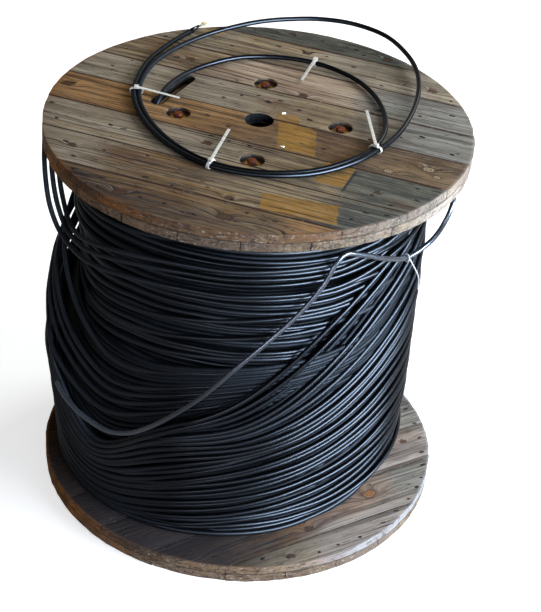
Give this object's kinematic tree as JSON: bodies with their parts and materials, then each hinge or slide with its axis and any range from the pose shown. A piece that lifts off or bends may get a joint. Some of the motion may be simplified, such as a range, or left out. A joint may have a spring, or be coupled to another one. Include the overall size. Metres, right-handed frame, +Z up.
{
  "type": "wooden cable drum",
  "caption": "Round wooden drum with double-layer board flanges, wound with black cable, with a tied coil lying on its top flange.",
  "frame": {"origin": "middle of the bottom flange's lower face, on the floor", "axes": "+Z up along the drum's axis; the picture's camera looks along +Y"},
  "size_m": [1, 1.0201, 1.0087],
  "materials": {
    "weathered_wood": "rough",
    "inner_wood": "rough",
    "rusty_steel": "rusty",
    "zinc_steel": "dull",
    "cable_sheath": "satin",
    "yellow_yarn": "fibrous",
    "white_nylon": "satin",
    "white_string": "matt"
  },
  "bodies": {
    "root": {"top_outer_board_1": "weathered_wood", "top_outer_board_2": "weathered_wood", "top_outer_board_3": "weathered_wood", "top_outer_board_4": "weathered_wood", "top_outer_board_5": "weathered_wood", "top_outer_board_6": "weathered_wood", "top_outer_board_7": "weathered_wood", "top_outer_board_8": "weathered_wood", "top_inner_board_1": "inner_wood", "top_inner_board_2": "inner_wood", "top_inner_board_3": "inner_wood", "top_inner_board_4": "inner_wood", "top_inner_board_5": "inner_wood", "top_inner_board_6": "inner_wood", "top_inner_board_7": "inner_wood", "top_inner_board_8": "inner_wood", "bottom_inner_board_1": "weathered_wood", "bottom_inner_board_2": "weathered_wood", "bottom_inner_board_3": "weathered_wood", "bottom_inner_board_4": "weathered_wood", "bottom_inner_board_5": "weathered_wood", "bottom_inner_board_6": "weathered_wood", "bottom_inner_board_7": "weathered_wood", "bottom_inner_board_8": "weathered_wood", "bottom_outer_board_1": "inner_wood", "bottom_outer_board_2": "inner_wood", "bottom_outer_board_3": "inner_wood", "bottom_outer_board_4": "inner_wood", "bottom_outer_board_5": "inner_wood", "bottom_outer_board_6": "inner_wood", "bottom_outer_board_7": "inner_wood", "bottom_outer_board_8": "inner_wood", "barrel_staves": "inner_wood", "tie_rod_1": "rusty_steel", "rod_cap_1": "rusty_steel", "rod_washer_1": "zinc_steel", "rod_nut_1": "rusty_steel", "tie_rod_2": "rusty_steel", "rod_cap_2": "rusty_steel", "rod_washer_2": "zinc_steel", "rod_nut_2": "rusty_steel", "tie_rod_3": "rusty_steel", "rod_cap_3": "rusty_steel", "rod_washer_3": "zinc_steel", "rod_nut_3": "rusty_steel", "tie_rod_4": "rusty_steel", "rod_cap_4": "rusty_steel", "rod_washer_4": "zinc_steel", "rod_nut_4": "rusty_steel", "cable_pack": "cable_sheath", "loose_outer_turns": "cable_sheath", "top_coil_cable": "cable_sheath", "coil_end_prongs": "cable_sheath", "coil_end_yarn": "yellow_yarn", "outer_end_cable": "cable_sheath", "nylon_tie_1": "white_nylon", "nylon_tie_2": "white_nylon", "nylon_tie_3": "white_nylon", "nylon_tie_4": "white_nylon", "string_tie": "white_string"}
  },
  "joints": []
}
